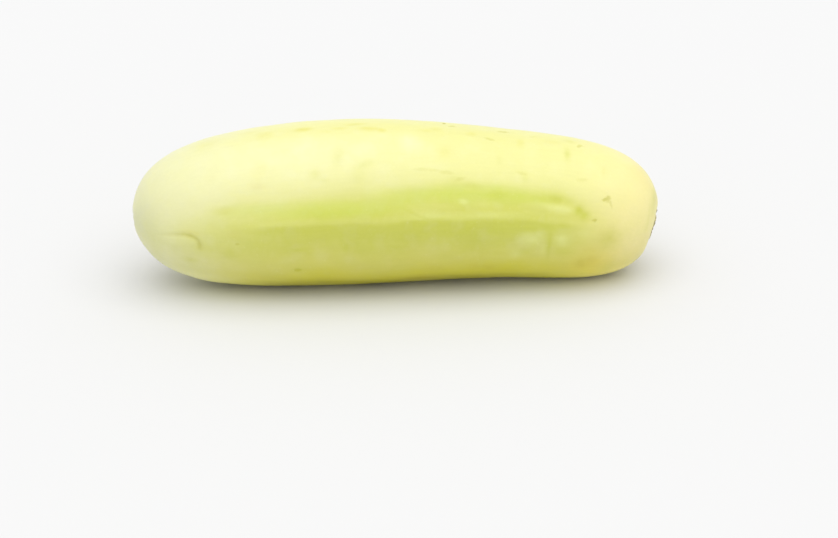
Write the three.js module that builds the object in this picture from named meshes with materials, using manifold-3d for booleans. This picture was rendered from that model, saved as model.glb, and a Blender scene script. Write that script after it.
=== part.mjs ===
// A pale slicing cucumber, as picked, lying on its side.
//
// It grew in one piece, so it is one closed solid. Its long axis runs along X: the blossom end
// is at -X and the stem end at +X. The origin is at the middle of its base, with +Z up.
// All lengths are in millimetres. Angles are in degrees here at the top, and in radians in the functions.

import * as THREE from 'three';
import { ParametricGeometry } from 'three/addons/geometries/ParametricGeometry.js';
import { mergeVertices } from 'three/addons/utils/BufferGeometryUtils.js';
import Module from 'manifold-3d';

// ---- driving dimensions ----

// The body is a bar with a long swell a little towards the blossom end and a small shoulder
// at the stem end. Two blunt round ends close it: the higher the bluntness, the squarer the end.
const HALF_LENGTH = 91;
const BASE_RADIUS = 21.5;
const SWELL = { height: 6.8, at: -16, spread: 79 };
const SHOULDER = { height: 0.5, at: 63, spread: 21 };
const BLOSSOM_BLUNTNESS = 6.4;
const STEM_BLUNTNESS = 8.7;

// The axis bows: both ends hang lower than the crown, and both come forward, towards -Y.
// Each bow is the offset 100 mm away from the crown. The slope lays the underside level.
const CROWN_AT = -15;
const BOW_DOWN = { blossom: 4.6, stem: 7.8 };
const BOW_FORWARD = { blossom: 5.0, stem: 3.2 };
const AXIS_SLOPE = 0.0035;

// The section is a round with three soft lobes, one of them on top, and ten faint ribs.
const LOBES = 3;
const LOBE_DEPTH = 0.018;
const RIBS = 10;
const RIB_DEPTH = 0.004;
const FIRST_RIB = 13;

// The stem end is cut by a flat that leans down and forward. Its rim is rounded, and the dished
// stem scar lies in it, a little below the tip. The blossom scar is at the other tip.
const FLAT_AT = 92.6;
const FLAT_LEAN = { down: 0.29, forward: 0.18 };
const FLAT_RIM = 0.35;
const STEM_SCAR = { radius: 5.2, depth: 0.9, below: 1.6 };
const BLOSSOM_SCAR = { radius: 3.2, depth: 0.7, below: 0 };

// The skin flattens a little where it bears on the table.
const REST_DEPTH = 0.44;

// Facets around the section and along the axis.
const AROUND = 60;
const ALONG = 42;

const COLOUR = { rind: 0xe3e59b };

// ---- the shape of the rind ----

// How full the section is at s along the axis: 1 in the middle and 0 at the two tips.
function fullness(s) {
  const bluntness = s < 0 ? BLOSSOM_BLUNTNESS : STEM_BLUNTNESS;
  const share = Math.min(Math.abs(s) / HALF_LENGTH, 1);
  return Math.sqrt(1 - share ** bluntness);
}

// A round-topped hump along the axis.
function hump(shape, s) {
  return shape.height * Math.exp(-(((s - shape.at) / shape.spread) ** 2));
}

function bodyRadius(s) {
  return BASE_RADIUS + hump(SWELL, s) + hump(SHOULDER, s);
}

// The point of the bowed axis at s, and the direction in which the axis runs there.
function axisPoint(s) {
  const side = s < CROWN_AT ? 'blossom' : 'stem';
  const away = ((s - CROWN_AT) / 100) ** 2;
  return new THREE.Vector3(s, -BOW_FORWARD[side] * away, AXIS_SLOPE * s - BOW_DOWN[side] * away);
}

function axisDirection(s) {
  const side = s < CROWN_AT ? 'blossom' : 'stem';
  const rate = (2 * (s - CROWN_AT)) / 100 ** 2;
  return new THREE.Vector3(1, -BOW_FORWARD[side] * rate, AXIS_SLOPE - BOW_DOWN[side] * rate).normalize();
}

// The section's outline as a share of its radius, at an angle measured from the top.
function sectionShape(angle, fade) {
  const lobe = LOBE_DEPTH * Math.cos(LOBES * angle);
  const rib = RIB_DEPTH * Math.cos(RIBS * (angle - THREE.MathUtils.degToRad(FIRST_RIB)));
  return 1 + fade * (lobe + rib);
}

// The lower of two values, with the corner between them rounded over the given width.
function softMin(a, b, width) {
  return Math.min(a, b) - width * Math.log1p(Math.exp(-Math.abs(a - b) / width));
}

// The depth of a round dish at a place in the section, given by its radius and angle. The middle
// of the dish is below the tip.
function dish(scar, radius, angle) {
  const distance = Math.hypot(radius * Math.sin(angle), radius * Math.cos(angle) + scar.below);
  return scar.depth * Math.exp(-((distance / scar.radius) ** 4));
}

// One point of the rind. u runs once around the section, and v runs from tip to tip.
function rindPoint(u, v, target) {
  const s = -HALF_LENGTH * Math.cos(v * Math.PI);
  const angle = u * 2 * Math.PI;
  const fade = fullness(s);
  const radius = bodyRadius(s) * fade * sectionShape(angle, fade);

  const along = axisDirection(s);
  const up = new THREE.Vector3(0, 0, 1).addScaledVector(along, -along.z).normalize();
  const front = new THREE.Vector3().crossVectors(along, up);
  target.copy(axisPoint(s));
  target.addScaledVector(up, radius * Math.cos(angle));
  target.addScaledVector(front, radius * Math.sin(angle));

  const flat = FLAT_AT + FLAT_LEAN.down * target.z + FLAT_LEAN.forward * target.y;
  target.x = softMin(target.x, flat, FLAT_RIM);
  target.x += s < 0 ? dish(BLOSSOM_SCAR, radius, angle) : -dish(STEM_SCAR, radius, angle);
}

// ---- welding and cutting ----

// Joins the vertices that meet, and drops the triangles that have collapsed at the two tips.
function weld(geometry) {
  geometry.deleteAttribute('normal');
  geometry.deleteAttribute('uv');
  const welded = mergeVertices(geometry, 1e-4);
  const index = welded.getIndex().array;
  const kept = [];
  for (let i = 0; i < index.length; i += 3) {
    const [a, b, c] = index.slice(i, i + 3);
    if (a !== b && b !== c && c !== a) {
      kept.push(a, b, c);
    }
  }
  welded.setIndex(kept);
  return welded;
}

const wasm = await Module();
wasm.setup();

function toSolid(geometry) {
  const welded = weld(geometry);
  const mesh = new wasm.Mesh({
    numProp: 3,
    vertProperties: new Float32Array(welded.getAttribute('position').array),
    triVerts: new Uint32Array(welded.getIndex().array),
  });
  return new wasm.Manifold(mesh);
}

function toGeometry(solid) {
  const mesh = solid.getMesh();
  const geometry = new THREE.BufferGeometry();
  geometry.setAttribute('position', new THREE.Float32BufferAttribute(mesh.vertProperties, 3));
  geometry.setIndex(new THREE.Uint32BufferAttribute(mesh.triVerts, 1));
  return geometry;
}

// A slab whose top is the table, raised so that it shaves the resting flat from the underside.
function restingSlab(lowest) {
  const thickness = 10;
  const slab = new THREE.BoxGeometry(3 * HALF_LENGTH, 3 * HALF_LENGTH, thickness);
  slab.translate(0, 0, lowest + REST_DEPTH - thickness / 2);
  return slab;
}

// Moves the origin to the middle of the base.
function centreOnBase(geometry) {
  geometry.computeBoundingBox();
  const { min, max } = geometry.boundingBox;
  geometry.translate(-(min.x + max.x) / 2, -(min.y + max.y) / 2, -min.z);
  geometry.computeVertexNormals();
  return geometry;
}

// ---- the part ----

function makeCucumber() {
  const rind = new ParametricGeometry(rindPoint, AROUND, ALONG);
  rind.computeBoundingBox();
  const lowest = rind.boundingBox.min.z;
  const resting = toSolid(rind).subtract(toSolid(restingSlab(lowest)));
  const material = new THREE.MeshStandardMaterial({ color: COLOUR.rind, roughness: 0.38, metalness: 0 });
  const mesh = new THREE.Mesh(centreOnBase(toGeometry(resting)), material);
  mesh.name = 'cucumber';
  return mesh;
}

const cucumber = new THREE.Group();
cucumber.add(makeCucumber());

export default cucumber;
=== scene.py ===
# %% [markdown]
# # A pale cucumber
#
# This is one cucumber of a pale, smooth kind, as picked and laid down. It grew in one piece, so
# the object is one closed surface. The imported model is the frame: it gives the size, the place
# and the body that the surface rides on. Everything here is in metres, with the blossom end at
# -X, the stem end at +X and the table at Z = 0.

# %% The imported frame
import math

import bpy
import numpy as np
from mathutils import Matrix, Quaternion, Vector


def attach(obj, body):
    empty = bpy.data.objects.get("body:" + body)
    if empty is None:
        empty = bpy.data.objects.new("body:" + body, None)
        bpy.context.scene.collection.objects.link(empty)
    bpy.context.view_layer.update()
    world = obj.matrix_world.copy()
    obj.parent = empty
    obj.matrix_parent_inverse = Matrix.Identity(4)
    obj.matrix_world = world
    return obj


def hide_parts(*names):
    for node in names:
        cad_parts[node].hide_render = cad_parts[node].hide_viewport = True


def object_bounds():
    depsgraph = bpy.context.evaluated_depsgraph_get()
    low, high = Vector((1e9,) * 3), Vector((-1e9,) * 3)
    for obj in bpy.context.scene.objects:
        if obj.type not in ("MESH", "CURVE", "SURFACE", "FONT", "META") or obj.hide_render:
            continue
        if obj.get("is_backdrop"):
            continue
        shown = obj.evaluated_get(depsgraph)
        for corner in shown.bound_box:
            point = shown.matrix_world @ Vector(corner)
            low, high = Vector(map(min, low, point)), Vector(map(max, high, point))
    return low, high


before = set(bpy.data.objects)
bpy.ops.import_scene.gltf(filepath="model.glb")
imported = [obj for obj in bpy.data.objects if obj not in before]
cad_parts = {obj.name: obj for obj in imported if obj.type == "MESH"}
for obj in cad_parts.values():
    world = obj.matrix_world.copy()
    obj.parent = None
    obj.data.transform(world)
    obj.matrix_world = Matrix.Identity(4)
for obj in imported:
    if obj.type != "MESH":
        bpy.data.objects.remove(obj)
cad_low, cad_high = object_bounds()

MM = 0.001
TURN = 2 * math.pi
cad_middle = (cad_low + cad_high) / 2
cad_length = cad_high.x - cad_low.x
print(f"frame: {cad_length / MM:.1f} mm long, {(cad_high.z - cad_low.z) / MM:.1f} mm high")

# %% [markdown]
# ## The camera
#
# A long lens a little way off keeps the two ends of a long fruit nearly the same size. The camera
# looks along +Y and down by 22 degrees. It aims a little below the fruit's middle and to its
# right, which leaves the fruit in the upper left of the view, and it is rolled by 1.4 degrees.

# %% Camera
LENS_MM = 85
ELEVATION = math.radians(22)
DISTANCE = 3.782 * cad_length
AIM_RIGHT, AIM_DOWN = 7.4 * MM, 24.7 * MM
ROLL = math.radians(-1.37)

towards_eye = Vector((0, -math.cos(ELEVATION), math.sin(ELEVATION)))
view_up = Vector((0, math.sin(ELEVATION), math.cos(ELEVATION)))
eye = cad_middle + towards_eye * DISTANCE
aim = cad_middle + Vector((AIM_RIGHT, 0, 0)) - view_up * AIM_DOWN

camera = bpy.data.objects.new("camera", bpy.data.cameras.new("camera"))
camera.data.lens = LENS_MM
camera.location = eye
camera.rotation_mode = "QUATERNION"
camera.rotation_quaternion = (aim - eye).to_track_quat("-Z", "Y") @ Quaternion((0, 0, 1), ROLL)
bpy.context.scene.collection.objects.link(camera)
bpy.context.scene.camera = camera
print(f"camera: {DISTANCE:.3f} m from the middle of the fruit")

# %% [markdown]
# ## The shape of the fruit
#
# A sculpted mesh or a subdivided cage could make this shape, but a formula holds it exactly to the
# frame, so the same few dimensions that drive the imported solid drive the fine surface. A place on
# the rind is a distance s along the fruit, zero in the middle, and an angle round it, zero on top
# and a quarter turn at the front. The body is a bar with a long swell and a small shoulder. Two
# blunt round ends close it, and its axis bows down and forward towards both ends.

# %% Dimensions of the fruit
HALF_LENGTH = 91 * MM
BASE_RADIUS = 21.5 * MM
SWELL = {"height": 6.8 * MM, "at": -16 * MM, "spread": 79 * MM}
SHOULDER = {"height": 0.5 * MM, "at": 63 * MM, "spread": 21 * MM}
BLOSSOM_BLUNTNESS, STEM_BLUNTNESS = 6.4, 8.7
CROWN_AT = -15 * MM
BOW_REACH = 100 * MM
BOW_DOWN = {"blossom": 4.6 * MM, "stem": 7.8 * MM}
BOW_FORWARD = {"blossom": 5.0 * MM, "stem": 3.2 * MM}
AXIS_SLOPE = 0.0035
LOBES, LOBE_DEPTH = 3, 0.018
RIBS, RIB_DEPTH, FIRST_RIB = 10, 0.004, math.radians(13)
FLAT_AT, FLAT_LEAN_DOWN, FLAT_LEAN_FORWARD, FLAT_RIM = 92.6 * MM, 0.29, 0.18, 0.35 * MM
STEM_SCAR = {"radius": 5.2 * MM, "depth": 0.9 * MM, "below": 1.6 * MM}
BLOSSOM_SCAR = {"radius": 3.2 * MM, "depth": 0.7 * MM, "below": 0}
REST_DEPTH = 0.44 * MM
thickness = 2 * (BASE_RADIUS + SWELL["height"])
print(f"fruit: {2 * HALF_LENGTH / MM:.0f} mm along its axis and about {thickness / MM:.0f} mm thick")


# %% Helpers for shapes
def bell(distance):
    """A round-topped bump, e to the minus square: 1 at distance 0, 0.37 at 1 and 0.02 at 2."""
    return np.exp(-(distance**2))


def hump(shape, s):
    """A bell along the fruit, with the shape's height, place and spread."""
    return shape["height"] * bell((s - shape["at"]) / shape["spread"])


def by_end(s, split, blossom, stem):
    """The blossom end's value where s is below the split, and the stem end's value past it."""
    return np.where(s < split, blossom, stem)


def fullness(s):
    """1 in the middle and 0 at the tips: the root of 1 less the share of the half length to a power."""
    bluntness = by_end(s, 0, BLOSSOM_BLUNTNESS, STEM_BLUNTNESS)
    return np.sqrt(np.maximum(1 - (np.abs(s) / HALF_LENGTH) ** bluntness, 0))


def girth_radius(s):
    """The mean radius of the section at s: the bar, its swell and its shoulder, times the fullness."""
    return (BASE_RADIUS + hump(SWELL, s) + hump(SHOULDER, s)) * fullness(s)


def soft_min(a, b, width):
    """The lower of two values, with the corner between them rounded over the width.

    It is the lower one less the width times the log of 1 plus e to the minus gap in widths.
    """
    return np.minimum(a, b) - width * np.log1p(np.exp(-np.abs(a - b) / width))


def soft_max(a, b, width):
    """The higher of two values, with the corner between them rounded over the width."""
    return -soft_min(-a, -b, width)


# %% The section and the scars
def from_scar(scar, radius, angle):
    """How far and at what angle a place in the section is from the scar's middle.

    The place is the radius times the sine and the cosine of the angle. The scar's middle is
    straight below the tip, so how far below is added to the part with the cosine.
    """
    front, up = radius * np.sin(angle), radius * np.cos(angle) + scar["below"]
    return np.hypot(front, up), np.arctan2(front, up)


def dish(scar, radius, angle):
    """A flat-floored round dish: its depth times e to the minus fourth power of the distance in radii."""
    distance, _ = from_scar(scar, radius, angle)
    return scar["depth"] * np.exp(-((distance / scar["radius"]) ** 4))


def section_radius(s, angle):
    """The girth's radius times 1 plus two cosines of the angle, for three soft lobes and ten faint ribs.

    Both cosines are multiplied by the fullness, so they fade out at the tips.
    """
    lobes = LOBE_DEPTH * np.cos(LOBES * angle)
    ribs = RIB_DEPTH * np.cos(RIBS * (angle - FIRST_RIB))
    return girth_radius(s) * (1 + fullness(s) * (lobes + ribs))


# %% The whole rind
def rind_points(s, angle):
    """The point of the bowed axis at s, plus the section's radius in the direction of the angle.

    The bow is a parabola each way from the crown. The direction is the cosine of the angle along
    the section's up and the sine along its front. The stem end is then cut by a leaning flat, and
    both scars are dished.
    """
    away = (s - CROWN_AT) / BOW_REACH
    down = by_end(s, CROWN_AT, BOW_DOWN["blossom"], BOW_DOWN["stem"])
    forward = by_end(s, CROWN_AT, BOW_FORWARD["blossom"], BOW_FORWARD["stem"])
    axis = np.stack([s, -forward * away**2, AXIS_SLOPE * s - down * away**2], axis=-1)
    slope_y = -2 * forward * away / BOW_REACH
    slope_z = AXIS_SLOPE - 2 * down * away / BOW_REACH
    along = np.stack([np.ones_like(s), slope_y, slope_z], axis=-1)
    along /= np.linalg.norm(along, axis=-1, keepdims=True)
    up = np.array([0.0, 0.0, 1.0]) - along * along[..., 2:]
    up /= np.linalg.norm(up, axis=-1, keepdims=True)
    front = np.cross(along, up)
    radius = section_radius(s, angle)
    points = axis + (radius * np.cos(angle))[..., None] * up
    points += (radius * np.sin(angle))[..., None] * front
    flat = FLAT_AT + FLAT_LEAN_DOWN * points[..., 2] + FLAT_LEAN_FORWARD * points[..., 1]
    points[..., 0] = soft_min(points[..., 0], flat, FLAT_RIM)
    points[..., 0] += by_end(s, 0, dish(BLOSSOM_SCAR, radius, angle), -dish(STEM_SCAR, radius, angle))
    return points


# %% [markdown]
# ## The grid over the rind
#
# The rings stand closer together towards the tips, where the surface turns in, and a single point
# closes each tip. The grid is about 0.7 mm fine, so a dent or a wart is real geometry. Each value
# that varies over the rind is one whole array over the rings and columns.

# %% Grid
RINGS, COLUMNS = 400, 239
ring_share = np.arange(1, RINGS + 1) / (RINGS + 1)
ring_s = -HALF_LENGTH * np.cos(math.pi * ring_share)
column_angle = math.pi + TURN * np.arange(COLUMNS) / COLUMNS
S, ANGLE = np.meshgrid(ring_s, column_angle, indexing="ij")
REACH = section_radius(S, ANGLE)
base = rind_points(S, ANGLE)


def outward(points):
    """Unit normals of a grid of points that closes round its columns, from the steps to its neighbours."""
    along = np.gradient(points, axis=0)
    around = np.roll(points, -1, axis=1) - np.roll(points, 1, axis=1)
    normals = np.cross(around, along)
    normals /= np.linalg.norm(normals, axis=-1, keepdims=True)
    middle = points.mean(axis=(0, 1))
    return normals * np.sign(np.sum(normals * (points - middle)))


NORMAL = outward(base)
print(f"grid: {RINGS} rings of {COLUMNS} points, {np.ptp(base[..., 0]) / MM:.2f} mm from tip to tip")

# %% [markdown]
# ## Marks on the rind
#
# A cucumber gathers marks as it grows: a crease where it bent round something, a nick, dots,
# scuffs and faint blotches. They could be painted on an image, but a mark that is written down
# can also be dented into the mesh. Each is one row: where it is, how long and wide it is, how it
# is turned and how strong it is. Soft marks become fields on the mesh's points. Crisp ones are
# hardly larger than the grid's steps, so the shader works them out from the same kind of row.

# %% Helpers for marks


def turn_between(angle, degrees):
    """The angle less a place given in degrees, wrapped to half a turn each way."""
    return (angle - math.radians(degrees) + math.pi) % TURN - math.pi


def on_rind(s_mm, degrees):
    """How far each grid point is from a place, in mm: along the fruit, and round it on the skin."""
    return S / MM - s_mm, turn_between(ANGLE, degrees) * girth_radius(S) / MM


def spots(rows):
    """The strongest of several soft ellipses.

    A row is: s in mm, angle in degrees, half length in mm, half width in mm, turn in degrees,
    strength. Each ellipse is its strength times a bell of the distance measured in half sizes.
    """
    field = np.zeros_like(S)
    for s_mm, degrees, half_length, half_width, turned, strength in rows:
        along, around = on_rind(s_mm, degrees)
        cos, sin = math.cos(math.radians(turned)), math.sin(math.radians(turned))
        u = (along * cos + around * sin) / half_length
        w = (around * cos - along * sin) / half_width
        field = np.maximum(field, strength * bell(np.hypot(u, w)))
    return field


def stroke(places):
    """A soft line through several places: s in mm, angle in degrees, half width in mm, strength.

    Between two places the half width and the strength change evenly. Each stretch is its strength
    times a bell of the distance to it in half widths, and the strongest stretch counts.
    """
    field = np.zeros_like(S)
    for (s0, a0, width0, strength0), (s1, a1, width1, strength1) in zip(places[:-1], places[1:]):
        along, around = on_rind(s0, a0)
        step_along = s1 - s0
        step_around = math.radians(a1 - a0) * girth_radius(S) / MM
        share = (along * step_along + around * step_around) / (step_along**2 + step_around**2)
        share = np.clip(share, 0, 1)
        away = np.hypot(along - share * step_along, around - share * step_around)
        width = width0 + (width1 - width0) * share
        strength = strength0 + (strength1 - strength0) * share
        field = np.maximum(field, strength * bell(away / width))
    return field


# %% Lines: s mm, angle deg, half width mm, strength
CREASE = [
    (-83, 88.4, 0.5, 0.05), (-79, 87.6, 0.5, 0.3), (-75.5, 87.0, 0.6, 0.55), (-72.5, 86.8, 0.65, 0.75),
    (-70.6, 87.8, 0.7, 1.0), (-68.9, 89.6, 0.7, 0.95), (-67.9, 92.0, 0.8, 0.8), (-67.6, 95.6, 1.0, 1.0),
    (-67.8, 98.5, 1.0, 0.8), (-68.2, 102, 0.9, 0.1),
]
PALE_RIDGE = [
    (44, 66, 0.8, 0.1), (49, 66.6, 0.9, 0.5), (53, 68.2, 1.3, 1.0), (57, 69.3, 1.3, 0.9),
    (60.5, 69.6, 0.8, 0.4),
]
BACK_SCRATCHES = [
    [(-38, -58, 0.6, 0.1), (-31, -60, 0.7, 0.9), (-24, -59, 0.6, 0.7), (-19, -56, 0.5, 0.1)],
    [(31, -97, 0.5, 0.1), (35, -95.5, 0.6, 0.7), (40, -95.2, 0.5, 0.5), (44, -96, 0.4, 0.1)],
]

# %% Crisp marks on the front: s mm, angle deg, half length mm, half width mm, turn deg, strength
FLECKS = [
    (70.3, 56.8, 1.2, 0.55, -28, 0.52), (71.1, 55.4, 0.8, 0.9, 0, 0.42), (71.1, 57.4, 0.8, 0.75, 0, 0.3),
    (72.0, 58.9, 1.6, 0.46, 66, 0.24), (-54.5, 95, 0.65, 0.5, 0, 0.32), (-34.5, 118.7, 1.2, 0.7, 0, 0.36),
    (67.3, 75.6, 0.8, 0.55, 0, 0.44), (16.1, -8, 0.6, 0.65, 0, 1.0), (61.8, 43.2, 1.7, 0.7, -12, 0.12),
    (31, 14.6, 1.6, 0.6, 20, 0.28), (60.9, 6.6, 1.4, 0.7, -62, 0.38), (62.2, 6.4, 0.9, 0.35, -20, 0.12),
    (35.4, -0.4, 1.7, 1.0, -8, 0.36), (18.7, -1.4, 1.3, 0.8, -35, 0.38), (45.3, 3.4, 1.4, 0.5, -22, 0.13),
    (8.4, 45.4, 2.2, 0.55, 0, 0.12), (12.6, 45.6, 1.8, 0.5, 0, 0.11), (17.0, 47.0, 2.2, 0.6, 2, 0.14),
    (21.5, 51.4, 1.7, 0.6, -14, 0.12), (41.8, 43.6, 1.6, 0.6, 14, 0.14),
]

# %% Soft green marks, in rows of the same kind
GREEN_NICK = [
    (61.9, 69.2, 1.8, 1.7, 30, 0.8),
    (63.6, 72.6, 1.7, 1.8, 45, 0.7),
]
GREEN_MARKS = [
    (53.8, 61.3, 2.6, 1.6, 0, 0.5), (48.5, 61.5, 3.0, 1.2, 0, 0.22), (34, 62, 3.0, 1.6, 0, 0.25),
    (56.6, 20.5, 1.0, 2.6, 0, 0.42), (57.8, 1.5, 1.6, 1.4, 0, 0.22), (-12.5, 2.8, 3.0, 0.8, -10, 0.22),
    (57.4, 27, 0.7, 1.4, 15, 0.12), (43, 47.5, 1.1, 1.8, 0, 0.16), (20.2, 52.8, 2.6, 1.7, -8, 0.22),
    (25, 55.6, 3.5, 1.1, 8, 0.28), (72.8, 91.2, 3.4, 3.7, 25, 0.2), (74, 80.5, 0.7, 0.7, 0, 0.12),
    (75, 127, 3.0, 3.6, 30, 0.25), (53, 98.5, 0.8, 5.4, 0, 0.46), (44.5, 105.5, 2.6, 1.2, 0, 0.36),
    (58.5, 105, 3.6, 1.3, 0, 0.26), (38, 97, 0.9, 2.2, 0, 0.14), (46, 86.0, 3.6, 1.0, 0, 0.34),
    # (57, 82.2) and (51, 83.4) on the next line are painted shade just below the rib's edge.
    (57, 82.2, 2.2, 0.9, 0, 0.44), (51, 83.4, 3.4, 1.3, 0, 0.3), (26, 87.0, 3.0, 1.6, 0, 0.24),
    (6, 84.6, 5.0, 1.1, -6, 0.22), (7, 91, 6.5, 2.2, 0, 0.16), (22, 91.5, 7.5, 2.0, 0, 0.16),
    (35, 90, 5.0, 1.8, 0, 0.14), (-20, 85.6, 3.0, 1.2, 0, 0.26), (-30, 88.5, 1.8, 1.8, 0, 0.26),
    (-44.5, 86.5, 3.4, 1.6, 0, 0.2), (-24, 77.0, 11.0, 2.3, 0, 0.19), (-6, 77.2, 8.0, 2.1, 0, 0.15),
    # (-66, 100) on the next line is painted shade beside the crease.
    (-66, 100, 5.0, 3.2, 0, 0.11), (31, 94, 6.0, 2.6, 0, 0.12), (-26.3, 48, 2.0, 1.7, 0, 0.22),
    (-23.6, 52.2, 1.7, 0.9, 0, 0.14), (-10.2, 42.2, 3.4, 1.4, -25, 0.22), (-12, 50, 2.6, 3.4, 0, 0.16),
    (-18.6, 34.5, 2.0, 4.2, 10, 0.21), (42.9, 46.6, 1.3, 2.2, 0, 0.14),
    (-34.5, 118.7, 1.7, 1.2, 0, 0.4), (-83.5, 104, 2.2, 8.0, 0, 0.12), (-58, 69.3, 3.0, 1.6, 0, 0.12),
    (58.2, 62.4, 2.6, 1.6, 0, 0.2), (69, 31, 0.8, 2.0, 0, 0.14), (-57.5, 103.5, 3.0, 2.0, 0, 0.32),
    (-71.6, 111.5, 2.8, 1.1, -5, 0.28), (-17, 100, 1.2, 1.6, 0, 0.45), (-34, 101, 3.8, 1.0, 0, 0.45),
    (-30.4, 103.4, 1.3, 1.1, 0, 0.2), (0, 103, 2.6, 3.4, 0, 0.12), (17, 110, 3.6, 1.0, 0, 0.12),
    (25.5, 104, 2.6, 1.4, -12, 0.12),
]

# %% Soft yellow marks
YELLOW_MARKS = [
    (-30.2, 6.0, 3.2, 1.5, 0, 0.95), (-22.5, 11.2, 2.4, 1.0, 0, 0.3), (-18, 8, 3.0, 1.1, 0, 0.52),
    (-13, 2.4, 3.4, 1.2, -8, 0.55), (-8.3, 9.6, 4.2, 1.3, 4, 0.75), (-4.4, 11.4, 1.5, 1.2, 0, 0.8),
    (2, 5, 4.0, 2.5, 0, 0.1), (10.2, 10, 3.2, 1.2, 0, 0.46), (13.5, 7.4, 2.2, 1.6, 0, 0.55),
    (25, 10, 2.0, 1.5, -15, 0.5), (41.2, 14.4, 1.4, 1.9, 0, 0.46), (-43, 8, 3.2, 3.0, 0, 0.42),
    (-48.5, -0.5, 3.8, 2.4, 0, 0.24), (-63, 4, 5.0, 4.5, 0, 0.28), (51.5, 8, 3.6, 1.3, 0, 0.28),
    (57, 1, 2.5, 1.8, 0, 0.22), (73, 91.4, 3.2, 3.4, 25, 0.22), (57, 128, 10.0, 6.0, 0, 0.18),
    (-44.5, 41.5, 4.0, 3.0, -12, 0.16), (-62, 43, 2.6, 2.0, 0, 0.1), (-57.5, 69.5, 3.0, 1.8, 0, 0.24),
    (-70.5, 85.4, 3.4, 1.3, 6, 0.34), (16.3, 30.6, 2.4, 2.6, 0, 0.28),
]

# %% Soft brown and olive marks
BROWN_MARKS = [
    (-46, 53.6, 2.4, 1.3, 0, 0.2), (-55.2, 88, 2.6, 2.2, 0, 0.12), (65.0, 116.6, 2.2, 2.4, 0, 0.24),
    (68, 113, 2.8, 2.4, 0, 0.24), (68.2, 103, 3.4, 2.4, 0, 0.1), (28, 122, 2.6, 1.8, 0, 0.12),
    (14, 121, 3.4, 2.2, 0, 0.08), (33, 122.5, 2.4, 2.0, 0, 0.15), (9, 138, 6.0, 3.0, 0, 0.3),
    (83, 4, 5.0, 8.0, 0, 0.12),
]
OLIVE_MARKS = [
    (72.8, 91.2, 3.3, 3.6, 25, 0.17), (65.0, 116.6, 2.2, 2.4, 0, 0.12), (34.2, 34.2, 1.0, 1.9, 0, 0.09),
    (54.5, 61.8, 3.4, 1.6, 0, 0.1), (-58, 69.4, 2.6, 1.4, 0, 0.05),
]

# %% Soft pale marks and frosted patches
PALE_MARKS = [
    (22.7, 67.8, 1.6, 0.8, 0, 0.55), (9.8, 78.8, 3.2, 1.0, -3, 0.34), (46.5, 94.2, 4.0, 2.6, 0, 0.46),
    (57, 94, 2.7, 2.5, 0, 0.46), (49, 90.8, 2.6, 2.0, 0, 0.34), (51, 103, 1.1, 2.8, 0, 0.22),
    (41.8, 108, 2.6, 1.8, -35, 0.26), (64.3, 87, 2.0, 2.0, 0, 0.16), (-6, 62, 3.4, 1.3, 0, 0.22),
    (30, 69.5, 6.0, 1.4, 0, 0.12),
]
FROSTED_MARKS = [
    # The first two rows, high on the front, also paint the light's broad highlight there.
    (-11, 31, 7.5, 5.4, 0, 0.46), (4.5, 24, 4.6, 5.2, -25, 0.5), (-59, 64.5, 6.5, 1.8, 0, 0.14),
    (-4, 50, 4.5, 1.8, 0, 0.16), (11, 42.4, 3.6, 0.9, 0, 0.22), (-26, 106.5, 2.6, 3.4, 0, 0.13),
    (-16.3, 110, 2.2, 2.6, 0, 0.09), (-37, 109, 5.0, 1.8, -15, 0.1), (11.5, 104, 4.8, 3.6, 0, 0.06),
    (46, 95, 3.2, 2.0, 0, 0.12), (44, 100.5, 4.5, 3.0, -30, 0.12),
]
soft_marks = GREEN_NICK + GREEN_MARKS + YELLOW_MARKS + BROWN_MARKS + OLIVE_MARKS + PALE_MARKS + FROSTED_MARKS
print(f"marks: {len(FLECKS)} crisp ones and {len(soft_marks)} soft ones")

# %% [markdown]
# ## Relief
#
# Close up, even a smooth cucumber isn't even. It has slow waves from its growth, low remnants of
# warts, a groove at the crease and pits at its marks. A displacement texture could do this, but
# moving the grid's points along their normals keeps the relief in the mesh itself. The waves are
# a sum of random sines in space, seeded so that each run gives the same fruit. The back and the
# underside get random marks of the same kinds as the front's.

# %% Random waves and marks
dice = np.random.default_rng(11)


def waves(count, shortest, longest, stretch):
    """A sum of sines in random directions, with an amplitude of about 1.

    Each has a wavelength between the shortest and the longest, in metres, and all are drawn out
    along the fruit by the stretch.
    """
    field = np.zeros_like(S)
    for _ in range(count):
        direction = dice.normal(size=3)
        direction /= np.linalg.norm(direction)
        direction[0] /= stretch
        rate = TURN / dice.uniform(shortest, longest)
        field += np.sin(base @ direction * rate + dice.uniform(0, TURN))
    return field * math.sqrt(2 / count)


def warts(count):
    """Low round knobs in ten loose rows along the fruit, as rows for the spots function."""
    rows = []
    for _ in range(count):
        rib = math.degrees(FIRST_RIB) + 360 / RIBS * dice.integers(0, RIBS) + dice.normal(0, 7)
        s_mm, length, width = dice.uniform(-70, 70), dice.uniform(0.9, 1.6), dice.uniform(0.8, 1.3)
        rows.append((s_mm, rib, length, width, 0, dice.uniform(0.3, 1.0)))
    return rows


HIDDEN_S, HIDDEN_ANGLES = (-74, 78), (152, 345)


def behind(count, smallest, largest, highest):
    """Random marks on the back and underside, as rows for the spots function.

    Half the width is between the smallest and the largest, in mm. Each is 0.7 to 2 times as long as
    it is wide, and turned by up to 25 degrees either way.
    """
    rows = []
    for _ in range(count):
        width = dice.uniform(smallest, largest)
        s_mm, degrees = dice.uniform(*HIDDEN_S), dice.uniform(*HIDDEN_ANGLES)
        length = width * dice.uniform(0.7, 2.0)
        rows.append((s_mm, degrees, length, width, dice.uniform(-25, 25), highest * dice.uniform(0.4, 1.0)))
    return rows


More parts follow.
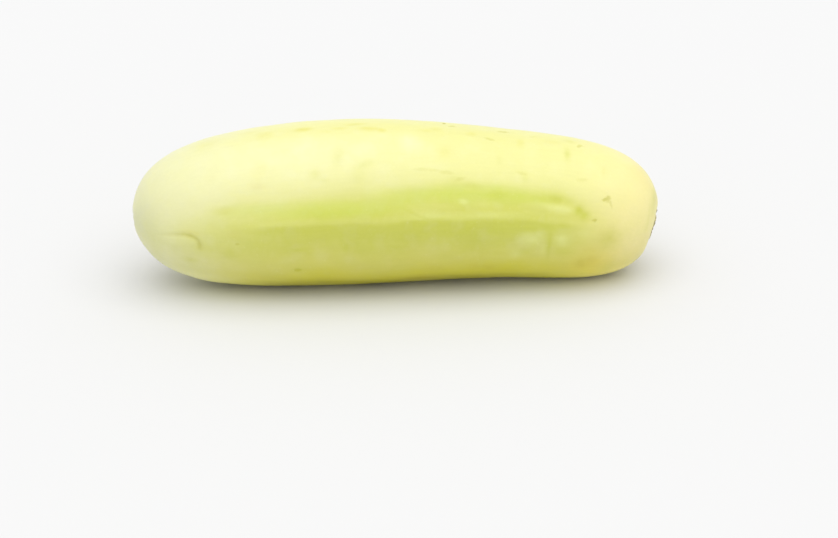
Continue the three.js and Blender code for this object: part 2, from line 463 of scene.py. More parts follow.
# %% Relief of the skin, in mm
WAVE_HEIGHT, RIPPLE_HEIGHT, WART_HEIGHT, RIDGE_HEIGHT, CHEEK_HEIGHT = 0.14, 0.03, 0.06, 0.12, 0.30
CREASE_DEPTH, FLECK_DEPTH, DOT_DEPTH, SCRATCH_DEPTH, NICK_DEPTH = 0.40, 0.30, 0.25, 0.15, 0.12
CALM_REACH = 12 * MM

crease = stroke(CREASE)
cheek = spots([(-74, 95.5, 5.5, 2.6, 0, 1.0)])
fleck_pits = spots(FLECKS)
ridge = stroke(PALE_RIDGE)
scratches = np.maximum.reduce([stroke(places) for places in BACK_SCRATCHES])
back_dots = spots(behind(16, 0.5, 0.9, 0.45))
knobs = spots(warts(70))

relief = WAVE_HEIGHT * waves(24, 22 * MM, 60 * MM, 2.5)
relief += RIPPLE_HEIGHT * waves(24, 6 * MM, 14 * MM, 2.0)
relief += WART_HEIGHT * knobs + RIDGE_HEIGHT * ridge + CHEEK_HEIGHT * cheek
relief -= CREASE_DEPTH * crease + FLECK_DEPTH * fleck_pits + DOT_DEPTH * back_dots
relief -= SCRATCH_DEPTH * scratches + NICK_DEPTH * spots(GREEN_NICK)
relief *= MM * np.minimum(REACH / CALM_REACH, 1)
print(f"relief: {relief.min() / MM:.2f} to {relief.max() / MM:.2f} mm")

# %% [markdown]
# ## The two ends
#
# Where the stalk was cut there is a corky disc, a rounded pentagon like the stalk itself. It has a
# raised rim, worn low near the top, a ring of small knots where its vessels ran, fine fibres and a
# pit in the middle. Where the flower was there is a smaller dimple, with the skin drawn into it in
# shallow puckers. An image would lie flat, so these are bells and sines of a distance and an
# angle: from the tip for the blossom scar, and for the stem scar from its own middle, a little
# below the tip.

# %% Helpers for scars
scar_dice = np.random.default_rng(7)


def ring_at(reach, radius, width):
    """A round ridge: a bell of the distance to a circle of that radius."""
    return bell((reach - radius) / width)


def within(reach, radius, fade):
    """1 inside a circle and 0 outside it: one over 1 plus e to the distance past it in fades."""
    return 1 / (1 + np.exp((reach - radius) / fade))


def wobble(angle):
    """An uneven outline: three sines of the angle, with an amplitude of about 1."""
    return 0.6 * np.sin(3 * angle + 0.6) + 0.4 * np.sin(7 * angle + 2.1) + 0.3 * np.sin(13 * angle)


def knots(reach, angle, count, radius):
    """A loose ring of small round knots: the strongest of several bells of the distance to a knot.

    Each knot has its own place near the circle of that radius, its own size and its own strength.
    """
    field = np.zeros_like(reach)
    for number in range(count):
        at = math.radians(360 / count * number + scar_dice.normal(0, 6))
        out = radius * scar_dice.normal(1, 0.09)
        across = reach * np.sin(angle) - out * math.sin(at)
        away = np.hypot(reach * np.cos(angle) - out * math.cos(at), across)
        size = scar_dice.uniform(0.30, 0.60) * MM
        field = np.maximum(field, scar_dice.uniform(0.35, 0.8) * bell(away / size))
    return field


# %% Stem scar, in fields from 0 to 1
BUNDLES, BUNDLE_REACH = 9, 3.1 * MM
FIBRES, FIBRE_REACH, FIBRE_LENGTH = 34, 4.2 * MM, 0.9 * MM
RIM_OUTSIDE, RIM_WIDTH, DISC_FADE, PIT_RADIUS = 0.1 * MM, 0.38 * MM, 0.10 * MM, 1.0 * MM

stem_side = by_end(S, 0, 0.0, 1.0)
scar_reach, scar_turn = from_scar(STEM_SCAR, REACH, ANGLE)
pentagon = 0.2 * np.cos(5 * scar_turn + 0.8) + 0.15 * wobble(scar_turn) - 0.2
rim_radius = STEM_SCAR["radius"] + pentagon * MM
rim_strength = 0.75 + 0.25 * wobble(scar_turn + 1)
stem_rim = stem_side * ring_at(scar_reach, rim_radius + RIM_OUTSIDE, RIM_WIDTH)
stem_disc = stem_side * within(scar_reach, rim_radius, DISC_FADE)
stem_bundles = stem_side * knots(scar_reach, scar_turn, BUNDLES, BUNDLE_REACH)
fibre_waves = np.cos(FIBRES * scar_turn + 2 * np.sin(3 * scar_turn) + 1.5 * np.sin(7 * scar_turn + 1))
stem_fibres = stem_disc * fibre_waves * ring_at(scar_reach, FIBRE_REACH, FIBRE_LENGTH)
stem_pit = stem_side * bell(scar_reach / PIT_RADIUS * (1 + 0.2 * wobble(scar_turn)))
print(f"stem scar: rim {rim_radius.min() / MM:.1f} to {rim_radius.max() / MM:.1f} mm from its middle")

# %% Blossom scar, in fields from 0 to 1
DISC_RADIUS, CORE_RADIUS = 2.0 * MM, 0.9 * MM
PETALS, PETAL_REACH, PETAL_LENGTH = 5, 2.1 * MM, 0.6 * MM
PUCKERS, PUCKER_REACH, PUCKER_LENGTH = 11, 4.5 * MM, 1.6 * MM

blossom_side = 1 - stem_side
blossom_wobble = 1 + 0.08 * wobble(ANGLE)
blossom_disc = blossom_side * within(REACH, DISC_RADIUS * blossom_wobble, 0.35 * MM)
blossom_ring = blossom_side * ring_at(REACH, PETAL_REACH * blossom_wobble, PETAL_LENGTH)
blossom_ring *= 0.6 + 0.4 * np.cos(PETALS * ANGLE)
blossom_core = blossom_side * bell(REACH / CORE_RADIUS * (1 + 0.25 * wobble(ANGLE)))
pucker_waves = np.cos(PUCKERS * ANGLE + 1.2 * np.sin(2 * ANGLE))
puckers = blossom_side * pucker_waves * ring_at(REACH, PUCKER_REACH, PUCKER_LENGTH)
print(f"blossom scar: {2 * DISC_RADIUS / MM:.1f} mm across, with {PUCKERS} puckers")

# %% Relief of the ends, in mm
RIM_HEIGHT, BUNDLE_HEIGHT, FIBRE_HEIGHT, PIT_DEPTH = 1.15, 0.28, 0.06, 0.35
DISC_DEPTH, PETAL_HEIGHT, PUCKER_HEIGHT = 0.18, 0.12, 0.06
RIM_NOTCH, NOTCH_AT, NOTCH_WIDTH = 0.8, math.radians(5), 0.35

notched = 1 - RIM_NOTCH * bell((scar_turn - NOTCH_AT) / NOTCH_WIDTH)
ends = RIM_HEIGHT * stem_rim * notched
ends += BUNDLE_HEIGHT * stem_bundles + FIBRE_HEIGHT * stem_fibres - PIT_DEPTH * stem_pit
ends += PETAL_HEIGHT * blossom_ring + PUCKER_HEIGHT * puckers - DISC_DEPTH * blossom_disc
points = base + NORMAL * (relief + ends * MM)[..., None]
print(f"ends: {ends.min():.2f} to {ends.max():.2f} mm")

# %% [markdown]
# ## Colour over the rind
#
# The skin is cream on top, yellow-green along its sides and deeper underneath, with greener
# stripes between the ribs, a chalky blossom end and a straw-coloured stem end. Underneath is the
# paler patch that lay on the ground. Some of the colour is painted light: the olive band low on
# the fruit is painted shade, the belly's yellow is partly painted bounce light, and there is
# painted shade at the blossom tip, on the stem end's shoulder and beside the rib and the crease,
# painted highlight on top and along the rib, and a painted lighter tone low on both ends. It could
# be painted by hand onto the mesh's points, but soft fields from 0 to 1 can be changed one by one.
# The shader mixes one plain colour for each, and it adds what is finer than the grid.

# %% Helpers for fields


def steady(places, at):
    """A value that changes evenly from each of the places given to the next, read at other places."""
    return np.interp(at, *zip(*places))


def wander(degrees, shortest, longest):
    """A slow random change of angle along the fruit: degrees times a sum of six seeded sines of s.

    Each has a wavelength between the shortest and the longest, in mm.
    """
    field = np.zeros_like(S)
    for _ in range(6):
        field += np.sin(TURN * S / MM / dice.uniform(shortest, longest) + dice.uniform(0, TURN))
    return degrees * field / math.sqrt(3)


def step(value, centre, width):
    """A soft step from 0 to 1 as the value passes the centre, over about that width.

    It is one over 1 plus e to the minus four times the distance past the centre in widths.
    """
    return 1 / (1 + np.exp(-(value - centre) / (width / 4)))


def between(value, start, end, width):
    """1 from the start to the end and 0 outside them, with a soft step of that width at each."""
    return step(value, start, width) * (1 - step(value, end, width))


def firm(field):
    """The same field with crisper edges: three times its square less twice its cube."""
    return field**2 * (3 - 2 * field)


def strongest(*shares):
    """The highest of several fields at each point."""
    return np.maximum.reduce(shares)


# %% Where the colours change: s mm, and the angle from the top or a width, in degrees
CREAM_EDGE = [(-90, 72), (-68, 72), (-45, 70), (-20, 65), (5, 59), (30, 57), (54, 58), (66, 65), (90, 68)]
RIB_LINE = [
    (-90, 84), (-45, 83.2), (-20, 82.9), (-2, 83.2), (6, 81.2), (20, 81.6), (34, 79.6), (50, 80.6),
    (90, 81),
]
RIB_EDGE_WIDTH = [(-50, 2.8), (-2, 2.2), (6, 1.0), (13, 1.2), (20, 2.0), (60, 2.4)]
BELLY_EDGE = [(-60, 121), (-34, 122), (-14, 125), (6, 122), (32, 120.5), (52, 116.5), (68, 118), (84, 120)]

# %% Bands along the fruit
along_mm = S / MM
turned = np.degrees(turn_between(ANGLE, 0))
from_top = np.abs(turned)
at_front = step(turned, 0, 20) * (1 - step(turned, 170, 12))
off_tips = between(along_mm, -66, 84, 22)

side = step(from_top, steady(CREAM_EDGE, along_mm) + wander(1.5, 14, 50), 16)
rib_line = steady(RIB_LINE, along_mm) + wander(0.35, 9, 30)
rib_edge = step(turned, rib_line, steady(RIB_EDGE_WIDTH, along_mm))
rib_shade = rib_edge * (1 - step(turned, 103 + wander(3, 12, 30), 24)) * between(along_mm, -46, 61, 20)
rib_shade += 0.6 * between(from_top, 90 + wander(3, 12, 40), 108, 16) * (1 - at_front)
khaki = step(from_top, 104 + wander(3, 16, 50), 20)
# The belly's deeper yellow, with little blue, is partly its own colour and partly painted bounce light.
belly_and_bounce_light = step(from_top, steady(BELLY_EDGE, along_mm) + wander(2, 24, 70), 15) * (0.1 + 0.9 * off_tips)
# Painted shade: a darker olive band low along the middle of the fruit, near where it rests.
painted_low_shade = between(from_top, 137 + wander(1.2, 24, 70), 158 + wander(3, 24, 70), 12)
painted_low_shade *= between(along_mm, -44, 40, 24)
ground = step(from_top, 158 + wander(3, 24, 70), 14) * off_tips

# %% Green stripes, as strokes
upper_green = stroke([
    (-15, 65, 2.4, 0.1), (-5, 64, 2.8, 0.4), (6, 63.6, 3.2, 0.6), (18, 62.6, 3.5, 0.9), (34, 61, 3.5, 1.0),
    (46, 61.4, 3.0, 0.8), (57, 62, 2.2, 0.4),
])
long_green = stroke([
    (-66, 68, 2.4, 0.1), (-57, 69.4, 2.6, 0.7), (-42, 71.6, 3.6, 0.7), (-26, 73, 4.0, 1.0),
    (-14, 73.6, 3.6, 0.9), (2, 72, 3.2, 0.6), (14, 71, 2.6, 0.1),
])
low_green = stroke([
    (-2, 88, 2.4, 0.1), (12, 86, 2.6, 0.8), (30, 86.5, 2.6, 1.0), (50, 85.5, 2.2, 0.9), (61, 84, 1.6, 0.2),
])
back_green = stroke([
    (-54, -68, 3, 0.1), (-38, -71, 3.6, 0.7), (-12, -74, 4, 1.0), (14, -73, 3.6, 0.6), (36, -70, 4, 0.9),
    (58, -67, 2.6, 0.1),
])
green = 0.78 * firm(upper_green) + 0.7 * firm(long_green) + 0.6 * firm(low_green) + 0.55 * firm(back_green)

# %% Fine lines, as strokes
# A painted highlight just above the rib's edge, with a pale tint.
rib_highlight_line = stroke([
    (-50, 81.5, 0.9, 0.1), (-42, 81.4, 0.9, 0.4), (-33, 81.6, 0.9, 0.1), (-4, 80.4, 1.0, 0.05),
    (5, 79.4, 1.3, 0.4), (11, 78.6, 1.3, 0.8), (20, 78.4, 1.1, 0.5), (34, 76.4, 1.2, 0.7),
    (46, 75, 1.2, 0.1),
])
rib_fork = stroke([
    (1, 72.4, 0.4, 0.05), (5, 75.2, 0.5, 0.6), (8, 78.6, 0.5, 0.9), (11, 80.8, 0.6, 1.0),
    (17, 82.4, 0.8, 0.2),
])
back_line = stroke([
    (-60, -81.5, 1, 0.1), (-47, -84.4, 1, 0.5), (-31, -83.8, 1.3, 0.7), (-15, -86.6, 1, 0.5),
    (3, -85.2, 1.4, 0.8), (21, -87, 1, 0.4), (44, -84, 1.1, 0.1),
])
# Painted shade along the edge of the stem end's flat.
flat_edge_shade = stroke([
    (85.4, 38, 0.5, 0.05), (86.2, 52, 0.6, 0.8), (86.2, 74, 0.6, 1.0), (85.6, 94, 0.5, 0.05),
])

# %% Colours of the ends and of the top, with painted shade and a painted highlight; the chalk's edge is given as the angle, and s mm
CHALK_EDGE = [(0, -53), (50, -57), (75, -70), (98, -75), (112, -69), (136, -62), (180, -60)]
FACE_REACH, SHOULDER_SHADE_REACH, SHOULDER_SHADE_WIDTH = 13 * MM, 13.2 * MM, 1.8 * MM

chalk = 1 - step(along_mm + 2 * np.sin(3 * ANGLE), steady(CHALK_EDGE, from_top), 36)
# Painted highlight: a paler frost high on the front of the blossom half, where the light's broad reflection
# falls on the wax bloom.
frost_and_highlight_top = 0.55 * (1 - step(along_mm, -6, 56)) * bell((from_top - 34) / 24) * (1 - chalk)
# Painted shade towards the blossom tip, where the end turns away from the light.
tip_shade = (1 - step(along_mm, -84, 10)) * bell((from_top - 72) / 36)
at_face = stem_side * within(REACH, FACE_REACH, 1.5 * MM)
straw = step(along_mm + 1.5 * np.sin(5 * ANGLE + 1), 70, 22)
straw *= 1 - 0.25 * step(from_top, 128, 20) * (1 - at_face)
top_yellow = bell((turned - 7) / 8) * between(along_mm, -58, 46, 24)
amber_patches = spots([(69, 121, 9, 9, 0, 0.56), (79, 126, 7, 6, 0, 0.28), (68.5, 103, 4, 3.6, 0, 0.24)])
# Painted shade: a grey-green band on the stem end's upper shoulder, near its edge.
shoulder_shade = stem_side * ring_at(scar_reach, SHOULDER_SHADE_REACH, SHOULDER_SHADE_WIDTH) * bell((scar_turn - math.radians(30)) / 0.45)

# %% Painted light: a lighter tone low on both ends, against the floor's shade there
PAINTED_LIGHT_LOW = [
    (-86, 0), (-80, 0.4), (-70, 1.0), (-58, 0.7), (-44, 0.2), (44, 0.2), (54, 0.3), (68, 1.0), (80, 0.8),
    (88, 0),
]
painted_light_low = step(from_top, 132, 16) * steady(PAINTED_LIGHT_LOW, along_mm)

# %% Marks of the front, with random ones behind
amber = strongest(amber_patches, spots(behind(10, 1.5, 3.0, 0.30)))
# Frosted patches, with a painted highlight on top.
frost_and_highlight = strongest(frost_and_highlight_top, spots(FROSTED_MARKS), spots(behind(12, 2.0, 4.0, 0.30)))
# The pale lines include the painted highlight above the rib.
pale_lines = strongest(0.42 * rib_highlight_line, 0.3 * back_line, 0.45 * ridge, 0.5 * scratches)
pale = strongest(pale_lines, spots(PALE_MARKS), spots(behind(16, 1.5, 3.5, 0.35)))
lemon = strongest(0.10 * top_yellow, spots(YELLOW_MARKS), spots(behind(16, 0.8, 2.2, 0.45)))
# Green marks and lines, with painted shade on the stem end's shoulder, along the edge of its flat and below
# the rib's edge.
green_and_shade_lines = strongest(0.30 * rib_fork, 0.16 * flat_edge_shade, 0.30 * shoulder_shade)
moss_and_shade = strongest(green_and_shade_lines, spots(GREEN_NICK + GREEN_MARKS), spots(behind(30, 0.8, 2.4, 0.34)))
# The crease's brown-olive tint is partly russet and partly painted shade in its groove.
bruise_and_crease_shade = strongest(0.36 * crease, spots(OLIVE_MARKS), back_dots)
# Painted shade: at the blossom tip, and on the stem end's shoulder.
painted_shade = strongest(0.46 * tip_shade, 0.20 * shoulder_shade)
stem_dark = strongest(stem_rim * rim_strength, stem_bundles, 0.5 * stem_fibres, 0.7 * stem_pit)
scar_rim = strongest(stem_dark, 0.4 * blossom_ring, 0.5 * blossom_core)

# %% All the fields
fields = {
    "side": side, "green": green, "rib_shade": rib_shade, "khaki": khaki, "belly_and_bounce_light": belly_and_bounce_light, "painted_low_shade": painted_low_shade,
    "ground": ground, "chalk": chalk, "straw": straw, "amber": amber, "brown": spots(BROWN_MARKS),
    "frost_and_highlight": frost_and_highlight, "pale": pale, "lemon": lemon, "painted_shade": painted_shade, "moss_and_shade": moss_and_shade, "bruise_and_crease_shade": bruise_and_crease_shade,
    "painted_light_low": painted_light_low, "cork": stem_disc + 0.9 * blossom_disc, "scar_rim": scar_rim,
}
fields = {name: np.clip(field, 0, 1) for name, field in fields.items()}
for name, field in fields.items():
    print(f"field {name}: {field.min():.2f} to {field.max():.2f}, mean {field.mean():.3f}")

# %% [markdown]
# ## The mesh
#
# The rings are stitched into quads, and a fan of triangles closes each tip. Underneath, the skin
# flattens a little where it bears on the table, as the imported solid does. A shrink onto the solid
# would also lay it flat, but it would take the relief away. The mesh is then moved so that it
# stands in the frame's box.

# %% Helpers for the mesh


def with_tips(values):
    """A grid's values as one list, ending with a value for each tip: the mean of the ring beside it."""
    flat = values.reshape(RINGS * COLUMNS, -1)
    tips = values[[0, -1]].mean(axis=1).reshape(2, -1)
    return np.concatenate([flat, tips])


def stitched():
    """The quads between neighbouring rings, and the fans round the two tips, all facing outwards."""
    ring, column = np.meshgrid(np.arange(RINGS - 1), np.arange(COLUMNS), indexing="ij")
    after = (column + 1) % COLUMNS
    quads = np.stack([ring * COLUMNS + column, ring * COLUMNS + after,
                      (ring + 1) * COLUMNS + after, (ring + 1) * COLUMNS + column], axis=-1)
    edge = np.arange(COLUMNS)
    edge_after = (edge + 1) % COLUMNS
    last = (RINGS - 1) * COLUMNS
    blossom_tip, stem_tip = RINGS * COLUMNS, RINGS * COLUMNS + 1
    blossom_fan = np.stack([edge_after, edge, np.full(COLUMNS, blossom_tip)], axis=-1)
    stem_fan = np.stack([last + edge, last + edge_after, np.full(COLUMNS, stem_tip)], axis=-1)
    return quads.reshape(-1, 4).tolist() + blossom_fan.tolist() + stem_fan.tolist()


def straightened(s, angle):
    """The place at s and the angle on a copy of the fruit whose axis is straight.

    It is s along X, and the girth's radius times the sine along Y and the cosine along Z.
    """
    return np.stack([s, girth_radius(s) * np.sin(angle), girth_radius(s) * np.cos(angle)], axis=-1)


# %% Mesh
FLAT_EDGE = 0.12 * MM
vertices = with_tips(points)
table = vertices[:, 2].min() + REST_DEPTH
vertices[:, 2] = soft_max(vertices[:, 2], table, FLAT_EDGE)
low, high = vertices.min(axis=0), vertices.max(axis=0)
across = np.array([cad_middle.x, cad_middle.y]) - (low[:2] + high[:2]) / 2
vertices += [*across, cad_low.z - low[2]]

rind_mesh = bpy.data.meshes.new("rind")
rind_mesh.from_pydata(vertices.tolist(), [], stitched())
rind_mesh.validate()
rind_mesh.shade_smooth()
print(f"mesh: {len(rind_mesh.vertices)} points, {len(rind_mesh.polygons)} faces")

# %% Fields on the mesh
for name, field in fields.items():
    attribute = rind_mesh.attributes.new(name, "FLOAT", "POINT")
    attribute.data.foreach_set("value", with_tips(field).ravel().astype(np.float32))
attribute = rind_mesh.attributes.new("straight_place", "FLOAT_VECTOR", "POINT")
attribute.data.foreach_set("vector", with_tips(straightened(S, ANGLE)).ravel().astype(np.float32))
print(f"fields: {len(rind_mesh.attributes)} attributes on the mesh")

# %% [markdown]
# ## A map of the rind
#
# The finished pattern may be baked onto an image, which needs a flat map of the rind. The grid
# already is one: along the fruit by distance on the skin, and round it by the angle. The two
# measure nearly the same, so the map is square and hardly stretched, and its seam lies underneath.

# %% Map


def map_corners():
    """The place on the map of each face's corners, in the order in which the faces were stitched.

    Along is the share of the skin's length from tip to tip, and round is the column's share of a turn.
    """
    steps = np.linalg.norm(np.diff(points[:, COLUMNS // 2], axis=0), axis=-1)
    along = np.cumsum(np.concatenate([steps[:1], steps]))
    along /= along[-1] + steps[-1]
    ring, column = np.meshgrid(np.arange(RINGS - 1), np.arange(COLUMNS), indexing="ij")
    near, far = along[ring], along[ring + 1]
    before, after = column / COLUMNS, (column + 1) / COLUMNS
    quads = np.stack([near, before, near, after, far, after, far, before], axis=-1)
    edge = np.arange(COLUMNS) / COLUMNS
    edge_after = edge + 1 / COLUMNS
    first, last = np.full(COLUMNS, along[0]), np.full(COLUMNS, along[-1])
    middle = (edge + edge_after) / 2
    blossom_fan = np.stack([first, edge_after, first, edge, np.zeros(COLUMNS), middle], axis=-1)
    stem_fan = np.stack([last, edge, last, edge_after, np.ones(COLUMNS), middle], axis=-1)
    return np.concatenate([quads.ravel(), blossom_fan.ravel(), stem_fan.ravel()])


rind_map = rind_mesh.uv_layers.new(name="OFBake")
rind_map.uv.foreach_set("vector", map_corners().astype(np.float32))
print(f"map: {len(rind_map.uv)} corners")

# %% [markdown]
# ## The piece
#
# The finished mesh becomes one object at the origin. It rides on the frame's one body and stands
# for the imported solid.

# %% Piece
rind = bpy.data.objects.new("rind", rind_mesh)
bpy.context.scene.collection.objects.link(rind)
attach(rind, "root")
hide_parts("cucumber")

# %% [markdown]
# ## Shader arithmetic
#
# A material is a graph of nodes, which is hard to read as a list of links. This small class wraps
# one socket, so that a formula in Python adds the Math nodes that work it out.

# %% Sockets


class Signal:
    """One output socket of a material's nodes. Arithmetic on it adds Math nodes."""

    def __init__(self, tree, socket=None):
        self.tree = tree
        self.socket = socket

    def node(self, kind, settings, inputs, output=None):
        """Adds a node: its settings are set first, then each input's value or link. Gives one output."""
        node = self.tree.nodes.new(kind)
        for key, value in settings.items():
            setattr(node, key, value)
        for key, value in inputs.items():
            socket = node.inputs[key] if isinstance(key, int) else self.named(node.inputs, key)
            if isinstance(value, Signal):
                self.tree.links.new(value.socket, socket)
            else:
                socket.default_value = value
        return Signal(self.tree, self.named(node.outputs, output))

    def named(self, sockets, name):
        """The first socket in use that has this name or identifier, or nothing."""
        return next((s for s in sockets if s.enabled and name in (s.name, s.identifier)), None)

    def math(self, operation, *values, clamp=False):
        """A Math node of this operation on the values given."""
        return self.node("ShaderNodeMath", {"operation": operation, "use_clamp": clamp},
                         dict(enumerate(values)), "Value")

    def __add__(self, other):
        return self.math("ADD", self, other)

    def __radd__(self, other):
        return self.math("ADD", other, self)

    def __sub__(self, other):
        return self.math("SUBTRACT", self, other)

    def __rsub__(self, other):
        return self.math("SUBTRACT", other, self)

    def __mul__(self, other):
        return self.math("MULTIPLY", self, other)

    def __rmul__(self, other):
        return self.math("MULTIPLY", other, self)

    def clamped(self):
        """The value kept between 0 and 1."""
        return self.math("ADD", self, 0.0, clamp=True)

    def eased(self, start_at, full_at, full=1.0):
        """An S curve of the value, from 0 at the start to the full share."""
        limits = {"From Min": start_at, "From Max": full_at, "To Min": 0.0, "To Max": full}
        return self.node("ShaderNodeMapRange", {"interpolation_type": "SMOOTHSTEP"},
                         {"Value": self, **limits}, "Result")

    def painted(self, below, above):
        """The colour below, turned into the one above by this share from 0 to 1."""
        return self.node("ShaderNodeMix", {"data_type": "RGBA"},
                         {"Factor_Float": self, "A_Color": below, "B_Color": above}, "Result_Color")


# %% [markdown]
# ## The finish
#
# The skin is waxy and slightly translucent: a soft gloss over pale flesh. An image wrapped round
# the fruit would blur close up, so the finish is a formula. Noise that is drawn out along the
# fruit gives the streaks, and plain noise the mottling and the grain. It is read on a straightened
# copy of the fruit, kept as a point attribute, so that the streaks follow its bow.

# %% Material and noises
rind_material = bpy.data.materials.new("cucumber_rind")
rind_material.use_nodes = True
nodes = rind_material.node_tree.nodes
nodes.clear()
graph = Signal(rind_material.node_tree)


def kept(name):
    """A field kept on the mesh's points."""
    return graph.node("ShaderNodeAttribute", {"attribute_name": name}, {}, "Fac")


def noise(place, scale, detail=3.0):
    """Smooth noise less a half, so that it varies about zero, with this many cells to a metre."""
    settings = {"Vector": place, "Scale": scale, "Detail": detail, "Roughness": 0.5}
    return graph.node("ShaderNodeTexNoise", {}, settings, "Fac") - 0.5


STRETCH = (0.12, 1.0, 1.0)
place = graph.node("ShaderNodeAttribute", {"attribute_name": "straight_place"}, {}, "Vector")
drawn_out = graph.node("ShaderNodeMapping", {}, {"Vector": place, "Scale": STRETCH}, "Vector")
fine_streaks = noise(drawn_out, 900.0)
streaks = noise(drawn_out, 260.0)
mottle = noise(place, 190.0)
blotches = noise(place, 75.0, 2.0)
grain = noise(place, 1400.0)
edges = noise(place, 520.0)
print(f"noises: {len(nodes)} nodes")

# %% [markdown]
# ## Layers of colour
#
# The real colours lie one over another: green under the skin, a thin bloom of wax on it, and then
# what the weather and rubbing left. They are painted in that order over plain cream, and some
# layers also carry painted shade, painted bounce light and painted highlights. The noises
# change each layer's share from place to place, so no layer ends in a clean line.

# %% Colours, linear
CREAM = (0.68, 0.668, 0.265, 1)
FROST = (0.745, 0.74, 0.49, 1)
PORE = (0.74, 0.76, 0.42, 1)
BRUISE = (0.42, 0.395, 0.005, 1)
CORK = (0.47, 0.385, 0.18, 1)
CORK_DARK = (0.12, 0.075, 0.035, 1)

# %% Layers: field, colour, and how far the mottling, the streaks and the edge noise change the share
BAND_LAYERS = [
    ("side", (0.572, 0.582, 0.116, 1), 1.1, 0.7, 0.0),
    ("green", (0.545, 0.60, 0.088, 1), 1.4, 1.1, 0.0),
    ("rib_shade", (0.51, 0.525, 0.080, 1), 1.0, 0.6, 0.0),
    ("khaki", (0.595, 0.574, 0.123, 1), 1.0, 0.3, 0.0),
    # Partly the belly's own yellow, partly painted bounce light.
    ("belly_and_bounce_light", (0.625, 0.59, 0.040, 1), 0.9, 0.3, 0.0),
    # Painted shade low along the middle of the fruit.
    ("painted_low_shade", (0.42, 0.385, 0.008, 1), 0.6, 0.0, 0.0),
]
PATCH_LAYERS = [
    ("ground", (0.66, 0.62, 0.19, 1), 0.8, 0.0, 0.6),
    ("chalk", (0.69, 0.686, 0.40, 1), 0.5, 0.2, 0.0),
    ("straw", (0.757, 0.688, 0.31, 1), 0.5, 0.0, 0.0),
    ("amber", (0.69, 0.58, 0.06, 1), 0.8, 0.0, 0.4),
    ("brown", (0.48, 0.385, 0.03, 1), 0.5, 0.0, 0.7),
    # Frost, with the painted highlight on top.
    ("frost_and_highlight", FROST, 0.6, 0.4, 0.0),
    ("pale", (0.72, 0.75, 0.30, 1), 0.3, 0.0, 0.8),
    ("lemon", (0.63, 0.595, 0.14, 1), 0.3, 0.0, 0.9),
    # Painted shade, grey-green.
    ("painted_shade", (0.51, 0.525, 0.30, 1), 0.6, 0.0, 0.0),
    # Moss green, with painted shade.
    ("moss_and_shade", (0.50, 0.515, 0.05, 1), 0.4, 0.0, 0.9),
    # Bruises and dots, and painted shade in the crease.
    ("bruise_and_crease_shade", BRUISE, 0.0, 0.0, 0.9),
]


# %% Painting the layers
def layered(colour, layers):
    """The colour with each layer painted over it. A layer's share is its field times 1 plus its noises."""
    for name, paint, by_mottle, by_streaks, by_edges in layers:
        change = mottle * by_mottle + streaks * by_streaks + edges * by_edges
        colour = (kept(name) * (1.0 + change)).clamped().painted(colour, paint)
    return colour


BLOOM, BLOOM_BY_MOTTLE, BLOOM_BY_BLOTCHES, RUBBED_OFF = 0.02, 0.46, 0.28, 0.6
colour = layered(CREAM, BAND_LAYERS)
waxy = 1.0 - RUBBED_OFF * kept("khaki")
bloom = ((BLOOM + mottle * BLOOM_BY_MOTTLE + blotches * BLOOM_BY_BLOTCHES) * waxy).clamped()
colour = bloom.painted(colour, FROST)
colour = layered(colour, PATCH_LAYERS)
print(f"layers: {len(BAND_LAYERS)} bands and {len(PATCH_LAYERS)} patches, with the bloom between")

# %% [markdown]
# ## Crisp marks, scars and pores
#
# A nick or a speck on the real skin has a sharp, ragged edge. Each is measured here in its own
# axes: the distance from its middle in half sizes, with noise added before a steep step cuts it
# out. The corky scars are cut out of their soft fields in the same way, and a cell pattern gives
# the tiny pale pores. Painting them on points would need a far finer mesh.

# %% Crisp marks
MARK_THICKNESS = 5 * MM


def mark_frame(s_mm, degrees, turned_by):
    """The place and the turn, on the straightened fruit, of a crisp mark's own axes.

    They are the mark's length, its width, and straight out of the skin.
    """
    angle, turn = math.radians(degrees), math.radians(turned_by)
    along, around = Vector((1, 0, 0)), Vector((0, math.cos(angle), -math.sin(angle)))
    length = along * math.cos(turn) + around * math.sin(turn)
    width = around * math.cos(turn) - along * math.sin(turn)
    axes = Matrix((length, width, length.cross(width))).transposed()
    return straightened(np.float64(s_mm * MM), angle), axes.to_euler()


def crisp_mark(s_mm, degrees, half_length, half_width, turned_by, strength):
    """A mark's share: an S curve of the distance from its middle in half sizes, plus noise."""
    middle, axes = mark_frame(s_mm, degrees, turned_by)
    size = (half_length * MM, half_width * MM, MARK_THICKNESS)
    near = graph.node("ShaderNodeMapping", {"vector_type": "TEXTURE"}, {
        "Vector": place, "Location": middle, "Rotation": axes, "Scale": size}, "Vector")
    distance = graph.node("ShaderNodeVectorMath", {"operation": "LENGTH"}, {0: near}, "Value")
    return (distance + edges * 0.5 + grain * 1.2).eased(1.5, 0.5, strength)


flecks = crisp_mark(*FLECKS[0])
for row in FLECKS[1:]:
    flecks = graph.math("MAXIMUM", flecks, crisp_mark(*row))
colour = flecks.painted(colour, BRUISE)
print(f"crisp marks: {len(nodes)} nodes so far")


# %% Corky scars
def cut_out(share, start_at, full_at):
    """A field's share with a crisp, ragged edge: an S curve of the share plus noise."""
    return (share + grain * 0.45 + edges * 0.2).eased(start_at, full_at)


cork = kept("cork")
dry = cut_out(cork, 0.35, 0.65)
colour = dry.painted(colour, CORK)
dark = cut_out(kept("scar_rim"), 0.12, 0.85) * 0.9
colour = dark.painted(colour, CORK_DARK)

# %% Pores and a fine change of tone
PORE_SCALE, PORE_SHARE = 420.0, 0.09
cell = graph.node("ShaderNodeTexVoronoi", {}, {"Vector": place, "Scale": PORE_SCALE}, "Distance")
pores = (cell - mottle * 0.30).eased(0.16, 0.05, PORE_SHARE)
colour = (pores * (1.0 - cork)).clamped().painted(colour, PORE)
